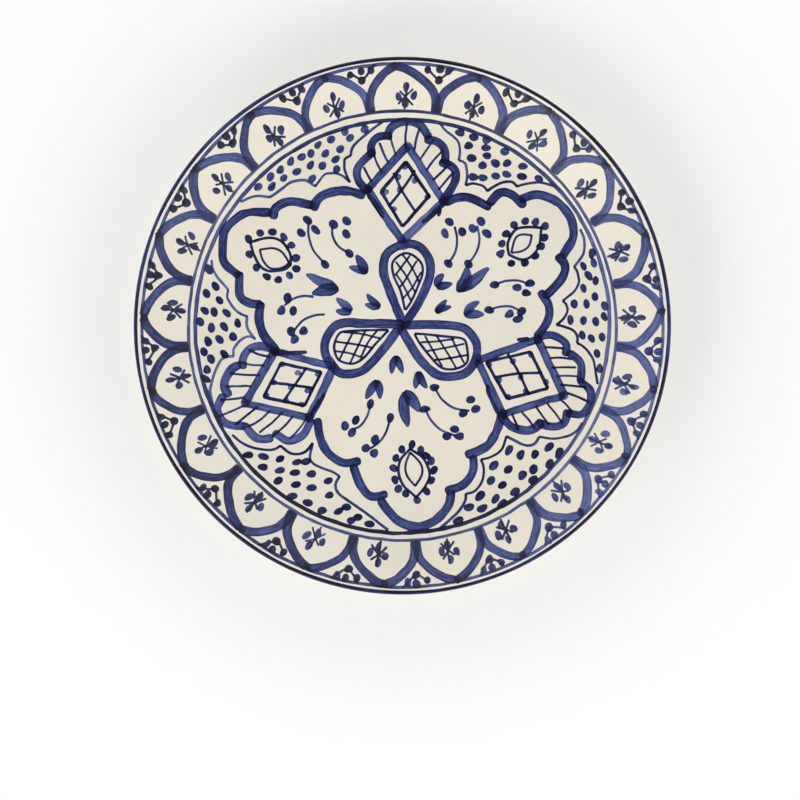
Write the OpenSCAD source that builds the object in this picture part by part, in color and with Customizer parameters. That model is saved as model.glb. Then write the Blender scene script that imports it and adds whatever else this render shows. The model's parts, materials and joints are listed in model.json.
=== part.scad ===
// Hand painted ceramic serving plate: a thrown and turned clay body on a foot
// ring, coated with cream glaze and painted in cobalt with a border of pointed
// arches round a three-fold figure of lobed frames, diamonds and teardrops.
// +Z is up, and the origin is the centre of the circle that the foot rests on.

/* [Plate] */
// Diameter over the painted lip
plate_d = 310; // [250:1:390]
// Height from the foot's rest face to the top of the lip
plate_h = 35; // [29:0.5:50]
// Thickness of the clay and its coats in the well
wall_t = 6; // [4:0.5:8]
// Thickness of the rounded lip
lip_t = 2.8; // [2:0.1:5]

/* [Border and well] */
// Width of the sloping border in plan, from the lip to the bend at the well
border_w = 39; // [32:0.5:48]
// Slope of the border above the horizontal
border_angle = 26.9; // [20:0.1:32]
// Rise of the well from its centre to the bend
well_dish = 4; // [1:0.5:7]
// Radius of the bend between the well and the border
bend_r = 35; // [15:1:60]

/* [Underside] */
// How far the foot's outside stands in from the bend above it
foot_inset = 12.5; // [6:0.5:30]
// Width of the foot ring where it joins the body
foot_w = 12; // [9:0.5:18]
// Width of the flat that the foot rests on
rest_w = 6; // [3:0.5:7]
// Radius of the foot's outer bottom edge
foot_round = 4; // [2:0.5:4.5]
// Slope of the wall's underside where it leaves the foot
wall_foot_angle = 5; // [0:0.5:12]
// Slope of the wall's underside where it meets the lip
wall_lip_angle = 39; // [34:0.5:45]

/* [Coats] */
// Thickness of the glaze
glaze_t = 0.5; // [0.3:0.1:1]
// Thickness of the painted colour on the glaze
paint_t = 0.25; // [0.2:0.05:0.4]
// Gap left between two neighbouring areas of colour
paint_gap = 0.15; // [0.1:0.05:0.4]
// Height of bare clay left at the bottom of the foot
dry_h = 1; // [0.5:0.1:2]

/* [Brushes] */
// Widest stroke, of the arches and the lobed frames
broad_brush = 4.6; // [2.5:0.1:6]
// Stroke of the diamonds and the teardrops
middle_brush = 3.9; // [2:0.1:5]
// Stroke of the small outlines
fine_brush = 1.3; // [0.8:0.1:2]
// Diameter of a dot
dot_d = 4.2; // [2.5:0.1:5]

/* [Border lines] */
// How far the band on the lip reaches in over the border
edge_band_in = 0.3; // [0.1:0.1:1]
// How far the band on the lip reaches down the wall's outside
edge_band_down = 0.8; // [0.2:0.1:3]
// Distance of the outer border line in from the plate's edge
outer_line_in = 4.6; // [4.2:0.1:8]
// Distance of the inner border line out from the bend
inner_line_out = 7.7; // [6:0.1:12]
// Distance of the well's line out from the bend
well_line_out = 3.4; // [1.5:0.1:4]
// Width of the well's line
well_line_w = 2; // [1:0.1:3]
// Number of arches round the border
arch_count = 21; // [15:1:27]
// Turn of the first arch from the +X axis
arch_turn = 5.5; // [0:0.5:18]

/* [Hidden] */

// Colours of the clay, the glaze and the cobalt, thick to thin
clay_colour = [0.80, 0.68, 0.55];
glaze_colour = [0.91, 0.88, 0.80];
cobalt_dark = [0.13, 0.15, 0.27];
cobalt = [0.22, 0.27, 0.47];
cobalt_thin = [0.35, 0.41, 0.61];

$fn = 96;
curve_steps = 3;      // straight pieces in each span of a curved stroke
round_steps = 6;      // straight pieces in the lip and in each rounded edge
wall_steps = 8;       // cones that make up the wall's underside
dot_sides = 8;        // sides of a painted dot
sliver = 0.12;        // narrower leftovers of colour are dropped

// ---- section through the plate: [radius, height] ----

lip_r = lip_t / 2;
lip_c = [plate_d / 2 - paint_t - lip_r, plate_h - paint_t - lip_r];
bend_at = plate_d / 2 - border_w;
border_top = lip_c + lip_r * [-sin(border_angle), cos(border_angle)];
function border_z(r) = border_top[1] - (border_top[0] - r) * tan(border_angle);
well_z = border_z(bend_at) - well_dish;
function dish_z(r) = well_z + well_dish * pow(r / bend_at, 2);

// The bend is a parabola that leaves the dish and the border along their slopes
dish_angle = atan(2 * well_dish / bend_at);
bend_half = bend_r * tan((border_angle - dish_angle) / 2);
bend_in = [bend_at - bend_half, dish_z(bend_at - bend_half)];
bend_out = [bend_at + bend_half, border_z(bend_at + bend_half)];
bend_corner = [bend_at, border_z(bend_at)];

function mix(a, b, t) = a + (b - a) * t;
function bezier(a, b, c, t) = mix(mix(a, b, t), mix(b, c, t), t);
function arc(c, r, from, to, steps) =
    [for (i = [0 : steps]) let (a = mix(from, to, i / steps)) c + r * [cos(a), sin(a)]];

// Surface of the glazed face, from the centre to the start of the lip
dish_steps = 4;        // cones that make up the well
face_line = concat(
    [for (i = [0 : dish_steps]) let (r = bend_in[0] * sqrt(i / dish_steps)) [r, dish_z(r)]],
    [for (i = [1 : 4]) bezier(bend_in, bend_corner, bend_out, i / 4)],
    [border_top]);
lip_start = 90 + border_angle;
lip_end = wall_lip_angle - 90;
lip_line = arc(lip_c, lip_r, lip_start, lip_end, round_steps);

// Underside of the wall, from the lip down to the foot
foot_r = bend_at - foot_inset;
wall_low = [foot_r, dish_z(foot_r) - wall_t];
wall_high = lip_line[round_steps];
wall_bend_r = (wall_high[1] - wall_low[1] + wall_low[0] * tan(wall_foot_angle)
    - wall_high[0] * tan(wall_lip_angle)) / (tan(wall_foot_angle) - tan(wall_lip_angle));
wall_bend = [wall_bend_r, wall_low[1] + (wall_bend_r - wall_low[0]) * tan(wall_foot_angle)];
wall_line = [for (i = [0 : wall_steps]) bezier(wall_high, wall_bend, wall_low, i / wall_steps)];

// Foot: straight side, rounded bottom edge, flat rest and a leaning inner side
round_c = [foot_r - foot_round, foot_round];
dry_turn = -acos((foot_round - dry_h) / foot_round);
foot_outside = arc(round_c, foot_round, 0, -90 - dry_turn, round_steps);
rest_out = foot_r - foot_round;
rest_in = rest_out - rest_w;
foot_in = foot_r - foot_w;
foot_in_top = [foot_in, dish_z(foot_in) - wall_t];
foot_in_low = mix([rest_in, 0], foot_in_top, dry_h / foot_in_top[1]);
recess_line = [for (i = [0 : dish_steps])
    let (r = foot_in * sqrt(1 - i / dish_steps)) [r, dish_z(r) - wall_t]];

// A line moved by t to its left, so that a coat has the same thickness all along
function normal(p, i) =
    let (d = p[min(i + 1, len(p) - 1)] - p[max(i - 1, 0)]) [-d[1], d[0]] / norm(d);
function moved(p, t) = [for (i = [0 : len(p) - 1]) p[i] + t * normal(p, i)];
function on_axis(p) = [for (q = p) [q[0] < glaze_t ? 0 : q[0], q[1]]];
function reversed(p) = [for (i = [len(p) - 1 : -1 : 0]) p[i]];

face_and_lip = concat(face_line, [for (i = [1 : round_steps]) lip_line[i]]);
back_line = concat(wall_line, foot_outside);
under_line = concat([foot_in_low], recess_line);
clay_face = on_axis(moved(face_and_lip, -glaze_t));
clay_back = moved(back_line, -glaze_t);
clay_under = on_axis(moved(under_line, -glaze_t));
wall_count = len(wall_line);
clay_foot_out = clay_back[wall_count - 1];

module turned(points) rotate_extrude() polygon(points);

module clay_body() {
    color(clay_colour)
        turned(concat(clay_face,
            [for (i = [1 : wall_count - 1]) clay_back[i]],
            [for (i = [1 : len(clay_under) - 1]) clay_under[i]]));
}

module foot_ring() {
    color(clay_colour)
        turned(concat([clay_foot_out],
            [for (i = [wall_count : len(clay_back) - 1]) clay_back[i]],
            [[rest_out, 0], [rest_in, 0], clay_under[0], clay_under[1]]));
}

module coat(line, inner) {
    color(glaze_colour) turned(concat(line, reversed(inner)));
}

module face_glaze() {
    coat(face_and_lip, clay_face);
}

module back_glaze() {
    coat(back_line, concat([clay_face[len(clay_face) - 1]],
        [for (i = [1 : len(clay_back) - 1]) clay_back[i]]));
}

module foot_well_glaze() {
    coat(on_axis(under_line), clay_under);
}

// ---- colour laid on the face: a skin between two radii ----

function face_z(r) = lookup(r, face_line);
function radii(r_in, r_out) =
    concat([r_in], [for (p = face_line) if (p[0] > r_in && p[0] < r_out) p[0]], [r_out]);

module skin(r_in, r_out) {
    rs = radii(r_in, r_out);
    turned(concat([for (r = rs) [r, face_z(r)]],
        reversed([for (r = rs) [r, face_z(r) + paint_t]])));
}

outer_line_r = plate_d / 2 - outer_line_in;
inner_line_r = bend_at + inner_line_out;
well_line_r = bend_at + well_line_out;
well_field_r = well_line_r - well_line_w / 2 - paint_gap;
border_field = [inner_line_r + fine_brush / 2 + paint_gap,
                outer_line_r - fine_brush / 2 - paint_gap];

// Lays flat strokes on the skin between two radii, without leftover slivers
module painted(r_in, r_out, colour) {
    color(colour)
        intersection() {
            skin(r_in, r_out);
            linear_extrude(height = plate_h)
                offset(delta = sliver) offset(delta = -sliver)
                    intersection() {
                        ring_area(r_in, r_out);
                        children();
                    }
        }
}

module ring_area(r_in, r_out) {
    difference() {
        circle(r = r_out + 1);
        if (r_in > 0) circle(r = r_in - 1);
    }
}

// The first drawing, kept clear of the others
module clear_of_next() {
    difference() {
        children(0);
        offset(delta = paint_gap) children([1 : $children - 1]);
    }
}

module rim_edge_band() {
    inside = border_top - edge_band_in * [1, tan(border_angle)];
    outside = wall_high + edge_band_down * along(wall_line, 0);
    band = concat([inside], lip_line, [outside]);
    color(cobalt_dark) turned(concat(band, reversed(moved(band, paint_t))));
}

module line_ring(r, w, colour) {
    color(colour) skin(r - w / 2, r + w / 2);
}

module rim_line() {
    line_ring(outer_line_r, fine_brush, cobalt);
}

module border_inner_line() {
    line_ring(inner_line_r, fine_brush, cobalt);
}

module well_line() {
    line_ring(well_line_r, well_line_w, cobalt_dark);
}

// ---- strokes, drawn flat ----

function curve_point(a, b, c, d, t) =
    0.5 * (2 * b + (c - a) * t + (2 * a - 5 * b + 4 * c - d) * t * t
        + (3 * b - a - 3 * c + d) * t * t * t);
// A smooth line through the points, straight if there are only two
function smooth(p) =
    len(p) < 3 ? p : concat(
        [for (i = [0 : len(p) - 2], s = [0 : curve_steps - 1])
            curve_point(p[max(i - 1, 0)], p[i], p[i + 1], p[min(i + 2, len(p) - 1)], s / curve_steps)],
        [p[len(p) - 1]]);
function smooth_loop(p) =
    let (n = len(p))
    [for (i = [0 : n - 1], s = [0 : curve_steps - 1])
        curve_point(p[(i + n - 1) % n], p[i], p[(i + 1) % n], p[(i + 2) % n], s / curve_steps)];
function along(p, i) =
    let (d = p[min(i + 1, len(p) - 1)] - p[max(i - 1, 0)]) d / norm(d);

// A brush stroke: full width in the middle, drawn in to a blunt point at both ends
module stroke(points, w) {
    p = smooth(points);
    last = len(p) - 1;
    polygon(concat(
        [p[0] - along(p, 0) * w / 3],
        [for (i = [0 : last]) p[i] + w / 2 * normal(p, i)],
        [p[last] + along(p, last) * w / 3],
        [for (i = [last : -1 : 0]) p[i] - w / 2 * normal(p, i)]));
}

module strokes(list, w) {
    for (points = list) stroke(points, w);
}

// A closed brush line of width w round the points
module loop_line(points, w) {
    p = smooth_loop(points);
    difference() {
        offset(delta = w / 2) polygon(p);
        offset(delta = -w / 2) polygon(p);
    }
}

module corner_loop(points, w) {
    difference() {
        offset(delta = w / 2, chamfer = true) polygon(points);
        offset(delta = -w / 2) polygon(points);
    }
}

module dots(list, d) {
    for (p = list) translate(p) circle(d = d, $fn = dot_sides);
}

// A leaf of width w: a pointed oval from base to tip
module leaf(base, tip, w) {
    d = tip - base;
    side = [-d[1], d[0]] / norm(d) * w / 2;
    polygon([base, base + 0.25 * d + 0.75 * side, base + 0.55 * d + side, base + 0.85 * d + 0.6 * side,
        tip, base + 0.85 * d - 0.6 * side, base + 0.55 * d - side, base + 0.25 * d - 0.75 * side]);
}

// ---- the border ----

arch_step = 360 / arch_count;
module each_arch() {
    for (i = [0 : arch_count - 1]) rotate(arch_turn + i * arch_step) children();
}

function polar(r, a) = r * [cos(a), sin(a)];
function in_border(t) = mix(border_field[0], border_field[1], t);

// One side of an arch: how far out it is, and how far its line has turned from
// the valley between two arches to the arch's own tip
arch_side = [[0, 0.07], [0.22, 0.1], [0.42, 0.24], [0.6, 0.44], [0.78, 0.72], [0.97, 1]];
function arch_line(side) =
    [for (p = arch_side) polar(in_border(p[0]), side * (1 - p[1]) * arch_step / 2)];

module arches_drawing() {
    each_arch() for (side = [-1, 1]) stroke(arch_line(side), broad_brush);
}

module border_arches() {
    painted(border_field[0], border_field[1], cobalt) arches_drawing();
}

// A small star under each arch: a stem, two crossing strokes and four leaves
star_r = mix(border_field[0], border_field[1], 0.36);
star_stem = [-5.5, 7];
star_cross = [4.6, 4];
star_leaves = [[[2, 1], [7, 2], 3.2], [[-2, 1], [-7, 2.4], 3.2],
               [[0.6, 3], [0.2, 8], 3.4], [[0, -1], [-1, -5.5], 3.4]];

module border_stars() {
    painted(border_field[0], border_field[1], cobalt_dark)
        clear_of_next() {
            each_arch() translate([star_r, 0]) rotate(-90) {
                strokes([[[0, star_stem[0]], [0, star_stem[1]]],
                         [-star_cross, star_cross],
                         [[-star_cross[0], star_cross[1]], [star_cross[0], -star_cross[1]]]], fine_brush);
                for (l = star_leaves) leaf(l[0], l[1], l[2]);
            }
            arches_drawing();
        }
}

// Berries between two arches: a thin chevron under the outer line, and four dots
berry_r = border_field[1];
module border_berries() {
    painted(border_field[0], border_field[1], cobalt_dark)
        clear_of_next() {
            each_arch() rotate(arch_step / 2) translate([berry_r, 0]) rotate(-90) {
                strokes([[[-7.5, 0], [0, -8.5], [8, 0.5]]], fine_brush);
                dots([[-4.8, -2.4], [0, -1.6], [4.8, -2], [0, -7]], dot_d);
            }
            arches_drawing();
        }
}

// ---- the figure in the well ----
// Its points are in millimetres on a plate with this clear radius in the well,
// u to the right and v outwards from the plate's centre
drawn_r = 118.25;
figure_scale = well_field_r / drawn_r;
figure_arms = 3;

module each_arm(turn) {
    for (i = [0 : figure_arms - 1])
        rotate(turn + i * 360 / figure_arms) children();
}
// Diamonds and teardrops point up at the first arm, lobed frames lie between them
module diamond_arms() each_arm(0) children();
module lobe_arms() each_arm(180 / figure_arms) children();

teardrop = figure_scale * [[0, 1.5], [-7, 15], [-11.5, 27], [-12, 35], [-8, 43], [0, 46.5],
            [9, 45], [15.5, 37.5], [16, 30], [12, 19], [5, 6]];
teardrop_inner = figure_scale * [[1.5, 8.5], [-3, 20], [-6.5, 29], [-6.5, 36], [-1, 41.5], [7, 40.5],
                  [11.5, 35], [11.5, 28], [7, 17]];
diamond = figure_scale * [[0, 101], [21, 73], [-1, 50], [-22, 75]];
diamond_inner = figure_scale * [[-0.5, 91.5], [13, 74], [-1.5, 57.5], [-14, 75]];
diamond_cross = figure_scale * [[[-7.5, 84.5], [5.5, 65.5]], [[6.5, 83], [-8, 66]]];
fan_edge = figure_scale * [[[-23, 78], [-30, 88], [-22, 98]], [[-22, 98], [-18, 106], [-8, 109]],
            [[-8, 109], [2, 115.5], [12, 108]], [[12, 108], [23, 103], [24, 94]],
            [[24, 94], [31, 85], [22, 73]]];
fan_ribs = figure_scale * [[[-26, 90], [-19, 84]], [[-20, 98], [-14, 90]], [[-14, 105], [-9, 95]],
            [[-7, 109], [-4.5, 100]], [[2, 113], [1, 104.5]], [[9.5, 109], [5.5, 99.5]],
            [[16, 105], [9, 94.5]], [[22, 100], [13.5, 89]], [[26, 92], [18, 83]],
            [[27, 85], [22, 78]]];
lobed_frame = figure_scale * [[[-42, 23], [-46, 40], [-51, 57]], [[-51, 58], [-47, 69], [-34, 76]],
               [[-35, 78], [-36, 88], [-25, 95]],
               [[-26, 97], [-23, 107], [-14, 113.5], [-3, 115], [7, 111.5], [13, 100]],
               [[12, 98], [22, 97], [29, 82]],
               [[28, 79], [37, 79], [48, 69], [50, 58], [46, 45], [39, 28]]];
scallops = figure_scale * [[[-18, 114], [-25, 108], [-30, 99]], [[-33, 96], [-39, 89], [-39, 81]],
            [[-41, 81], [-49, 77], [-52, 70]], [[-53, 72], [-60, 80], [-66, 76]],
            [[15, 115], [23, 110], [28, 102]], [[29, 101], [40, 96], [41, 82]],
            [[43, 83], [53, 78], [55, 68]], [[57, 70], [63, 77], [69, 74]]];
eye = figure_scale * [[-5, 99], [-12, 91], [-13.5, 84], [-4, 73], [4, 83], [1, 92]];
eye_inner = figure_scale * [[-5.5, 92], [-10, 84], [-4, 76.5], [0, 83]];
eye_centre = figure_scale * [-5, 85];
eye_ring = figure_scale * [12, 16.5];       // half width and half height of the ring of dots
eye_dots = 12;
berry_d = 3.6;
sprig_stems = figure_scale * [[[7, 56], [11, 65], [20, 74]], [[19, 47], [21, 57], [29, 62]],
               [[-12, 50], [-19, 60], [-28, 65]], [[-18, 40], [-25, 49], [-36, 52]]];
sprig_berries = figure_scale * [[7, 56], [21, 76], [15, 74], [20, 70], [19, 47], [30.5, 63], [31.5, 57], [25, 63],
                 [-30, 67], [-22, 67], [-28, 60.5], [-39, 53], [-33, 56], [-36, 47]];
leaves = figure_scale * [[[-1, 39], [-3, 61.5], 7], [[-2, 38], [-10, 50], 7],
          [[15, 33], [13, 44], 3.2], [[15.6, 33], [19.5, 43], 3.2],
          [[-8, 28], [-7.5, 38], 3.2], [[-8.6, 28], [-13, 36], 3.2],
          [[3.3, 18.5], [6, 28], 3.2], [[2.8, 18.5], [0.6, 27], 3.2]];
// Dots of the six fields: rows at these radii, between these angles off a diamond
dot_rows = [[113.5, 15, 44], [106, 18, 42], [98.5, 20, 40], [91, 22, 37]];
dot_pitch = 7.6;

module teardrops_drawing() diamond_arms() loop_line(teardrop, middle_brush);
module diamonds_drawing() diamond_arms() corner_loop(diamond, middle_brush);
module fans_drawing() diamond_arms() {
    strokes(fan_edge, broad_brush - 0.6);
    strokes(fan_ribs, fine_brush);
}
module lobes_drawing() lobe_arms() strokes(lobed_frame, broad_brush);
module scallops_drawing() lobe_arms() strokes(scallops, fine_brush);

module teardrop_loops() {
    painted(0, well_field_r, cobalt) teardrops_drawing();
}

lattice_pitch = 6.5;
lattice_lean = 35;
module teardrop_lattices() {
    painted(0, well_field_r, cobalt_dark)
        clear_of_next() {
            diamond_arms() {
                loop_line(teardrop_inner, fine_brush);
                intersection() {
                    polygon(smooth_loop(teardrop_inner));
                    translate(figure_scale * [2.5, 28]) for (side = [-1, 1], i = [-3 : 3])
                        rotate(side * lattice_lean) translate([i * lattice_pitch, 0])
                            square([fine_brush, 60], center = true);
                }
            }
            teardrops_drawing();
        }
}

module diamond_frames() {
    painted(0, well_field_r, cobalt)
        clear_of_next() {
            diamonds_drawing();
            teardrops_drawing();
        }
}

module diamond_lattices() {
    painted(0, well_field_r, cobalt_dark)
        clear_of_next() {
            diamond_arms() {
                corner_loop(diamond_inner, fine_brush);
                strokes(diamond_cross, fine_brush);
            }
            diamonds_drawing();
        }
}

module shell_fans() {
    painted(0, well_field_r, cobalt)
        clear_of_next() {
            fans_drawing();
            diamonds_drawing();
        }
}

module lobed_frames() {
    painted(0, well_field_r, cobalt)
        clear_of_next() {
            lobes_drawing();
            diamonds_drawing();
            fans_drawing();
            teardrops_drawing();
        }
}

module scalloped_lines() {
    painted(0, well_field_r, cobalt_thin)
        clear_of_next() {
            scallops_drawing();
            lobes_drawing();
            fans_drawing();
            diamonds_drawing();
        }
}

module field_dots() {
    painted(0, well_field_r, cobalt_dark)
        clear_of_next() {
            diamond_arms() for (row = dot_rows, side = [-1, 1]) {
                count = round(row[0] * (row[2] - row[1]) * PI / 180 / dot_pitch);
                for (i = [0 : count])
                    rotate(side * mix(row[1], row[2], i / count))
                        translate([0, figure_scale * row[0]]) circle(d = dot_d, $fn = dot_sides);
            }
            scallops_drawing();
            lobes_drawing();
            fans_drawing();
        }
}

module eye_motifs() {
    painted(0, well_field_r, cobalt_dark)
        lobe_arms() {
            loop_line(eye, fine_brush);
            loop_line(eye_inner, fine_brush);
            dots([for (i = [0 : eye_dots - 1]) let (a = i * 360 / eye_dots)
                eye_centre + [eye_ring[0] * cos(a), eye_ring[1] * sin(a)]], berry_d);
        }
}

module berry_sprigs() {
    painted(0, well_field_r, cobalt)
        clear_of_next() {
            lobe_arms() {
                strokes(sprig_stems, fine_brush);
                dots(sprig_berries, berry_d);
            }
            lobes_drawing();
        }
}

module leaf_sprays() {
    painted(0, well_field_r, cobalt_dark)
        clear_of_next() {
            lobe_arms() for (l = leaves) leaf(l[0], l[1], l[2]);
            teardrops_drawing();
        }
}

clay_body();
foot_ring();
face_glaze();
back_glaze();
foot_well_glaze();
rim_edge_band();
rim_line();
border_inner_line();
well_line();
border_arches();
border_stars();
border_berries();
lobed_frames();
scalloped_lines();
field_dots();
diamond_frames();
diamond_lattices();
shell_fans();
teardrop_loops();
teardrop_lattices();
eye_motifs();
berry_sprigs();
leaf_sprays();
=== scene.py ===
"""Looks of the hand painted serving plate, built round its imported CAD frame.

The body and its glaze are turned from a smooth section, and every brush stroke
is its own closed ribbon of colour draped on the glazed face. Lengths are in
millimetres on a plate 310 mm across, and are scaled to the frame at the end.
"""
import json
import math

import bmesh
import bpy
import numpy as np
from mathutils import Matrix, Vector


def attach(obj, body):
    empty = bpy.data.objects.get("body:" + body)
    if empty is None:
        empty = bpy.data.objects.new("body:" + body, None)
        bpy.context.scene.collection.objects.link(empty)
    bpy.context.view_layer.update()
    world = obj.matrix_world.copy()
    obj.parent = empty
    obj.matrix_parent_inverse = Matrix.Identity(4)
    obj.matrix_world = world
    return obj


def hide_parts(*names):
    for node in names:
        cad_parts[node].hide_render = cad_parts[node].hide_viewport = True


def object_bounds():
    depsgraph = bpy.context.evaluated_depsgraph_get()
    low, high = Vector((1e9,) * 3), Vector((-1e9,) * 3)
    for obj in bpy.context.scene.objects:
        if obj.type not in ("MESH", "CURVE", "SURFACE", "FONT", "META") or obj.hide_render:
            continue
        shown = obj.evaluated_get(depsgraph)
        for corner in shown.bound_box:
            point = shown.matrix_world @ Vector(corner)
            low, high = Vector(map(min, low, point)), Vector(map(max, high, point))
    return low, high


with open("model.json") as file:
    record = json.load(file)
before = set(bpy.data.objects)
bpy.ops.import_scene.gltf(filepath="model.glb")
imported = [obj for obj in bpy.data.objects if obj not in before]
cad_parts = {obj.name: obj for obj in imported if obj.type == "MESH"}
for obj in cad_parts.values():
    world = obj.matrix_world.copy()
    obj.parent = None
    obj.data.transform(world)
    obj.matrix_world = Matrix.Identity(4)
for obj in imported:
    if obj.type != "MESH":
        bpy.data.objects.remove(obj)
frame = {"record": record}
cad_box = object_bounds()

DRAWN_D = 310.0
HALF_D = DRAWN_D / 2
UNIT = (cad_box[1][0] - cad_box[0][0]) / (DRAWN_D - 0.02)   # its faceted box is 0.02 mm under
SLOTS = {row["node"]: row["material_slot"] for row in frame["record"]["subparts"]}
rng = np.random.default_rng(1907)

# ---------------------------------------------------------------- section

BORDER_SLOPE = math.tan(math.radians(26.9))
BORDER_TOP = (152.72, 34.60)
BEND_R, BEND_HALF = 116.0, 7.1
WELL_Z, WELL_DISH = 11.97, 4.0
LIP_C, LIP_R = (153.35, 33.35), 1.40
GLAZE_T = 0.5
FOOT_R, FOOT_BEND, REST_IN, FOOT_IN = 103.5, 4.0, 93.5, 91.5
WALL_T = 6.0
DRY_H = 1.0


def dish_z(r):
    return WELL_Z + WELL_DISH * (r / BEND_R) ** 2


def border_z(r):
    return BORDER_TOP[1] - (BORDER_TOP[0] - r) * BORDER_SLOPE


def lip_z(r):
    across = np.clip((r - LIP_C[0]) / LIP_R, -1, 1)
    return LIP_C[1] + LIP_R * np.sqrt(1 - across ** 2)


def face_z(r):
    """Height of the glazed face at radius r: dish, bend, sloping border and lip."""
    r = np.asarray(r, dtype=float)
    t = np.clip((r - BEND_R + BEND_HALF) / (2 * BEND_HALF), 0, 1)
    low, high = dish_z(BEND_R - BEND_HALF), border_z(BEND_R + BEND_HALF)
    bend = (1 - t) ** 2 * low + 2 * t * (1 - t) * border_z(BEND_R) + t ** 2 * high
    z = np.where(t <= 0, dish_z(r), np.where(t >= 1, border_z(r), bend))
    return np.where(r > BORDER_TOP[0], lip_z(r), z)


def face_slope(r):
    return (face_z(r + 0.05) - face_z(r - 0.05)) / 0.1


def quad_curve(a, b, c, n):
    """n + 1 points of the parabola from a to c that heads for b at both ends."""
    t = np.linspace(0, 1, n + 1)[:, None]
    a, b, c = (np.array(p, dtype=float) for p in (a, b, c))
    return (1 - t) ** 2 * a + 2 * t * (1 - t) * b + t ** 2 * c


def arc(centre, radius, start, end, n):
    a = np.radians(np.linspace(start, end, n + 1))
    return np.stack([centre[0] + radius * np.cos(a), centre[1] + radius * np.sin(a)], 1)


def wall_line(n):
    """Underside of the wall, from the lip down to the foot."""
    high = arc(LIP_C, LIP_R, 0, -51, 1)[1]
    low = np.array([FOOT_R, dish_z(FOOT_R) - WALL_T])
    k_low, k_high = math.tan(math.radians(5)), math.tan(math.radians(39))
    r = (high[1] - low[1] + low[0] * k_low - high[0] * k_high) / (k_low - k_high)
    return quad_curve(high, (r, low[1] + (r - low[0]) * k_low), low, n)


def face_line():
    rs = np.concatenate([np.linspace(0, 104, 40), np.linspace(105, 127, 34),
                         np.linspace(128, BORDER_TOP[0], 22)])
    return np.stack([rs, face_z(rs)], 1)


def lip_line(n):
    return arc(LIP_C, LIP_R, 116.9, -51, n)


def foot_line(n):
    """Foot's outside, from the wall down round its bottom edge to the bare clay."""
    dry = -math.degrees(math.acos((FOOT_BEND - DRY_H) / FOOT_BEND))
    return arc((FOOT_R - FOOT_BEND, FOOT_BEND), FOOT_BEND, 0, -90 - dry, n)


def recess_line(n):
    """Floor inside the foot, from its inner side to the centre."""
    top = np.array([FOOT_IN, dish_z(FOOT_IN) - WALL_T])
    low = np.array([REST_IN, 0.0]) + (top - [REST_IN, 0.0]) * DRY_H / top[1]
    rs = np.linspace(FOOT_IN, 0, n)
    floor = np.stack([rs, dish_z(rs) - WALL_T], 1)
    corner = quad_curve(low + (top - low) * 0.5, top, floor[2], 6)
    return np.concatenate([[low], corner, floor[3:]])


def moved(line, t):
    """The line moved by t to its left."""
    d = np.gradient(line, axis=0)
    n = np.stack([-d[:, 1], d[:, 0]], 1)
    out = line + t * n / np.linalg.norm(n, axis=1)[:, None]
    out[:, 0] = np.where(line[:, 0] < 1e-6, 0, out[:, 0])
    return out


# ---------------------------------------------------------------- meshes

def thrown(v):
    """A hand thrown wheel shape: never quite round or level, always inside the CAD box."""
    r, a = np.hypot(v[:, 0], v[:, 1]), np.arctan2(v[:, 1], v[:, 0])
    far = (r / HALF_D) ** 4
    out_of_round = 0.16 + 0.1 * np.cos(2 * a + 0.7) + 0.06 * np.cos(3 * a - 1.1)
    droop = 0.2 + 0.13 * np.cos(2 * a - 0.9) + 0.07 * np.cos(5 * a + 2)
    shrink = 1 - out_of_round * far / np.maximum(r, 1)
    sag = droop * far * np.clip(v[:, 2] / 10, 0, 1)
    return np.stack([v[:, 0] * shrink, v[:, 1] * shrink, v[:, 2] - sag], 1)


def add_mesh(name, node, verts, faces, material, attributes=None, sharp=50):
    """A piece in place of a CAD node, on the plate's one body."""
    mesh = bpy.data.meshes.new(name)
    mesh.from_pydata((thrown(verts) * UNIT).tolist(), [], faces)
    shells = bmesh.new()
    shells.from_mesh(mesh)
    bmesh.ops.recalc_face_normals(shells, faces=shells.faces)
    shells.to_mesh(mesh)
    shells.free()
    for key, values in (attributes or {}).items():
        kind = "FLOAT" if values.ndim == 1 else "FLOAT_VECTOR"
        layer = mesh.attributes.new(key, kind, "POINT")
        layer.data.foreach_set("value" if kind == "FLOAT" else "vector",
                               values.astype(np.float32).ravel())
    mesh.polygons.foreach_set("use_smooth", [True] * len(mesh.polygons))
    mesh.set_sharp_from_angle(angle=math.radians(sharp))
    mesh.materials.append(material)
    mesh.validate()
    piece = bpy.data.objects.new(name, mesh)
    bpy.context.scene.collection.objects.link(piece)
    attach(piece, "root")
    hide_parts(node)


def revolved(outline, segments):
    """Points and faces of an outline turned round the axis. A point on the axis stays one."""
    a = np.linspace(0, 2 * math.pi, segments, endpoint=False)
    verts, rings, count = [], [], 0
    for r, z in outline:
        n = segments if r > 1e-6 else 1
        verts.append(np.stack([r * np.cos(a[:n]), r * np.sin(a[:n]), np.full(n, z)], 1))
        rings.append(list(range(count, count + n)) * (segments // n))
        count += n
    faces = []
    for low, high in zip(rings, rings[1:] + rings[:1]):
        for k in range(segments):
            n = (k + 1) % segments
            face = tuple(dict.fromkeys((low[k], high[k], high[n], low[n])))
            if len(face) > 2:
                faces.append(face)
    return np.concatenate(verts), faces


def turned(name, node, outline, material, segments=480):
    """A closed turned solid. The outline runs with the solid on its right."""
    new = np.linalg.norm(np.diff(outline, axis=0, prepend=[[-9, 0]]), axis=1) > 1e-6
    add_mesh(name, node, *revolved(outline[new], segments), material, sharp=35)


# ---------------------------------------------------------------- brushwork

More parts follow.
